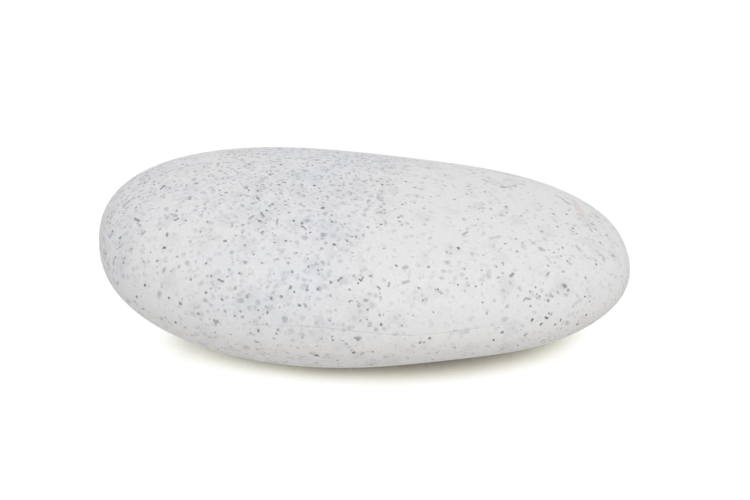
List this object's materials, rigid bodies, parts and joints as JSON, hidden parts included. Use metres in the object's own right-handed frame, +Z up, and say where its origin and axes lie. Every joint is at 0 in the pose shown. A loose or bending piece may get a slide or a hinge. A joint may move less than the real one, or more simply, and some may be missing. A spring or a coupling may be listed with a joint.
{
  "type": "river pebble",
  "caption": "Smooth off-white river pebble, a flattened oval tapering to one end, with blue-grey flecks and a small flat to rest on.",
  "frame": {"origin": "middle of the bounding box, on the surface that the pebble lies on", "axes": "+X along the longest way, towards the thinner end; +Y across the width, towards the hollow side of the bend; +Z up, through the smallest way"},
  "size_m": [0.14, 0.0872, 0.0466],
  "materials": {
    "speckled_stone": "satin"
  },
  "bodies": {
    "root": {"pebble": "speckled_stone"}
  },
  "joints": []
}
